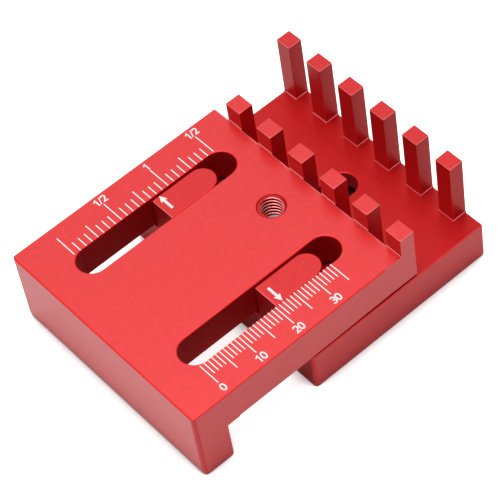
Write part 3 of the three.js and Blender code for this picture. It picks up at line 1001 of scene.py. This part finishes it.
def stroke_sides(points, width, closed):
    """Both sides of a stroke of even width, with its corners mitred."""
    sides = []
    count = len(points)
    for i, (x, y) in enumerate(points):
        before = points[i - 1] if closed or i else None
        after = points[(i + 1) % count] if closed or i < count - 1 else None
        normals = []
        for a, b in ((before, (x, y)), ((x, y), after)):
            if a and b:
                run = Vector((b[0] - a[0], b[1] - a[1])).normalized()
                normals.append(Vector((-run.y, run.x)))
        mean = (normals[0] + normals[-1]).normalized()
        reach = width / 2 / max(mean.dot(normals[0]), MITRE_LIMIT)
        sides.append((Vector((x, y)) + mean * reach, Vector((x, y)) - mean * reach))
    return sides


def numbers(name, labels):
    """Numbers of one scale, each with its centre at a place on the face."""
    vertices, faces = [], []
    levels = (UPPER_FACE - MARK_SINK, UPPER_FACE + MARK_HEIGHT)
    for text, x, y in labels:
        cursor = x - sum(DIGITS[digit][1] for digit in text) * DIGIT_HEIGHT / 2
        for digit in text:
            points, advance, closed = DIGITS[digit]
            centre = cursor + advance * DIGIT_HEIGHT / 2
            cursor += advance * DIGIT_HEIGHT
            width = DIGIT_STROKE * (SLASH_THINNING if digit == "/" else 1.0)
            placed = [(centre + u * DIGIT_HEIGHT, y + (v - 0.5) * DIGIT_HEIGHT) for u, v in points]
            sides = stroke_sides(placed, width, closed)
            first = len(vertices)
            for left, right in sides:
                vertices += [(p.x, p.y, z) for z in levels for p in (left, right)]
            for i in range(len(sides) - (0 if closed else 1)):
                a, b = first + 4 * i, first + 4 * ((i + 1) % len(sides))
                faces += [(a, a + 1, b + 1, b), (a + 2, b + 2, b + 3, a + 3),
                          (a, b, b + 2, a + 2), (a + 1, a + 3, b + 3, b + 1)]
            if not closed:
                last = first + 4 * (len(sides) - 1)
                faces += [(first, first + 2, first + 3, first + 1),
                          (last, last + 1, last + 3, last + 2)]
    return finish(solid(name, vertices, faces), name, (MARK_WHITE,), "upper")


def pointer(name, side):
    """Arrow on a boss that points out at its scale."""
    x = REST_READING + POINTER_SETBACK
    tip = side * (SLOT_CENTRE + BOSS_RADIUS - POINTER_INSET)
    half = [(ARROW_HALF_WIDTH, -ARROW_BARB), (ARROW_SHAFT_HALF, -ARROW_NOTCH),
            (ARROW_SHAFT_HALF, -ARROW_LENGTH)]
    shape = [(0.0, 0.0)] + half + [(-u, v) for u, v in reversed(half)]
    ring = [(x + side * u, tip + side * v) for u, v in shape]
    levels = (BOSS_TOP - MARK_SINK, BOSS_TOP + MARK_HEIGHT)
    arrow = stacked(name, [[(u, v, z) for u, v in ring] for z in levels])
    return finish(arrow, name, (MARK_WHITE,), "lower")


def make_marks():
    scale_marks("metric_marks", -1, Count=36, Pitch=1.0, Short=3.4, Middle=5.65, Long=5.65,
                Middle_Every=5, Long_Every=10)
    scale_marks("inch_marks", 1, Count=25, Pitch=INCH / 16, Short=2.8, Middle=4.2, Long=6.0,
                Middle_Every=4, Long_Every=8)
    numbers("metric_numbers", [(str(n), SCALE_ZERO + n, METRIC_NUMBERS_Y) for n in (0, 10, 20, 30)])
    numbers("inch_numbers", [(text, SCALE_ZERO + INCH * n, INCH_NUMBERS_Y)
                             for text, n in (("1/2", 0.5), ("1", 1.0), ("1/2", 1.5))])
    pointer("metric_pointer", -1)
    pointer("inch_pointer", 1)


# Setting

def ray_shares(tree):
    """Share of the camera's own rays, and of the rays that a gloss or a glass sends."""
    path = tree.nodes.new("ShaderNodeLightPath")
    reflected = maths(tree, "MAXIMUM", path.outputs["Is Glossy Ray"], path.outputs["Is Transmission Ray"])
    return path.outputs["Is Camera Ray"], reflected


def pale_floor():
    """Floor that is white to the camera, with painted shadow only right beside and under the gauge."""
    material = new_material("pale_floor")
    tree = material.node_tree
    seen, reflected = ray_shares(tree)
    # Ambient occlusion finds where the gauge covers the floor, for the painted shadow there
    openness = add_node(tree, "ShaderNodeAmbientOcclusion", {"Distance": SHADE_REACH}).outputs["AO"]
    open_share = add_node(tree, "ShaderNodeMapRange", {
        "Value": openness, "From Min": 0.35, "From Max": 0.7,
    }).outputs["Result"]
    # The floor's own tone is painted darker there: painted shadow
    tone = add_node(tree, "ShaderNodeMix", {
        "Factor": open_share, "A": (0.3, 0.3, 0.3, 1), "B": (0.85, 0.85, 0.85, 1),
    }, data_type="RGBA").outputs["Result"]
    matt = add_node(tree, "ShaderNodeBsdfDiffuse", {"Color": tone}).outputs["BSDF"]
    # The glow seen by the camera and in reflections fades there too: painted shadow
    own = maths(tree, "MULTIPLY", open_share, maths(tree, "MULTIPLY", seen, CAMERA_GLOW))
    returned = maths(tree, "MULTIPLY", reflected, REFLECTED_GLOW)
    glow = add_node(tree, "ShaderNodeEmission", {
        "Color": (1, 1, 1, 1),
        "Strength": maths(tree, "ADD", own, maths(tree, "MULTIPLY", openness, returned)),
    }).outputs["Emission"]
    both = add_node(tree, "ShaderNodeAddShader", {0: matt, 1: glow}).outputs["Shader"]
    add_node(tree, "ShaderNodeOutputMaterial", {"Surface": both})
    far = FLOOR_HALF
    mesh = bpy.data.meshes.new("floor")
    mesh.from_pydata([(-far, -far, 0), (far, -far, 0), (far, far, 0), (-far, far, 0)], [], [(0, 1, 2, 3)])
    mesh.materials.append(material)
    floor = bpy.data.objects.new("floor", mesh)
    bpy.context.scene.collection.objects.link(floor)
    floor.location.z = -FLOOR_DROP


def pale_room():
    """Even room light, with plain white behind the gauge and in what it reflects."""
    world = bpy.data.worlds.new("pale_room")
    world.use_nodes = True
    tree = world.node_tree
    tree.nodes.clear()
    room, white = (
        add_node(tree, "ShaderNodeBackground", {"Color": (1, 1, 1, 1), "Strength": level}).outputs[0]
        for level in (ROOM_LEVEL, 1.0)
    )
    share = maths(tree, "MAXIMUM", *ray_shares(tree))
    both = add_node(tree, "ShaderNodeMixShader", {0: share, 1: room, 2: white})
    add_node(tree, "ShaderNodeOutputWorld", {"Surface": both.outputs["Shader"]})
    bpy.context.scene.world = world


def overhead_lamp():
    """One wide lamp high over the gauge, turned to its middle."""
    data = bpy.data.lights.new("lamp_overhead", "AREA")
    data.shape = "RECTANGLE"
    data.size = LAMP_SIZE
    data.size_y = LAMP_SIZE
    data.energy = LAMP_POWER
    lamp = bpy.data.objects.new("lamp_overhead", data)
    bpy.context.scene.collection.objects.link(lamp)
    lamp.location = LAMP_PLACE
    lamp.rotation_euler = (-LAMP_PLACE).to_track_quat("-Z", "Y").to_euler()


add_camera()
pale_floor()
pale_room()
overhead_lamp()
bpy.context.scene.view_settings.view_transform = "Standard"
make_upper_plate()
make_lower_plate()
make_screw()
make_knob()
make_washer()
make_marks()
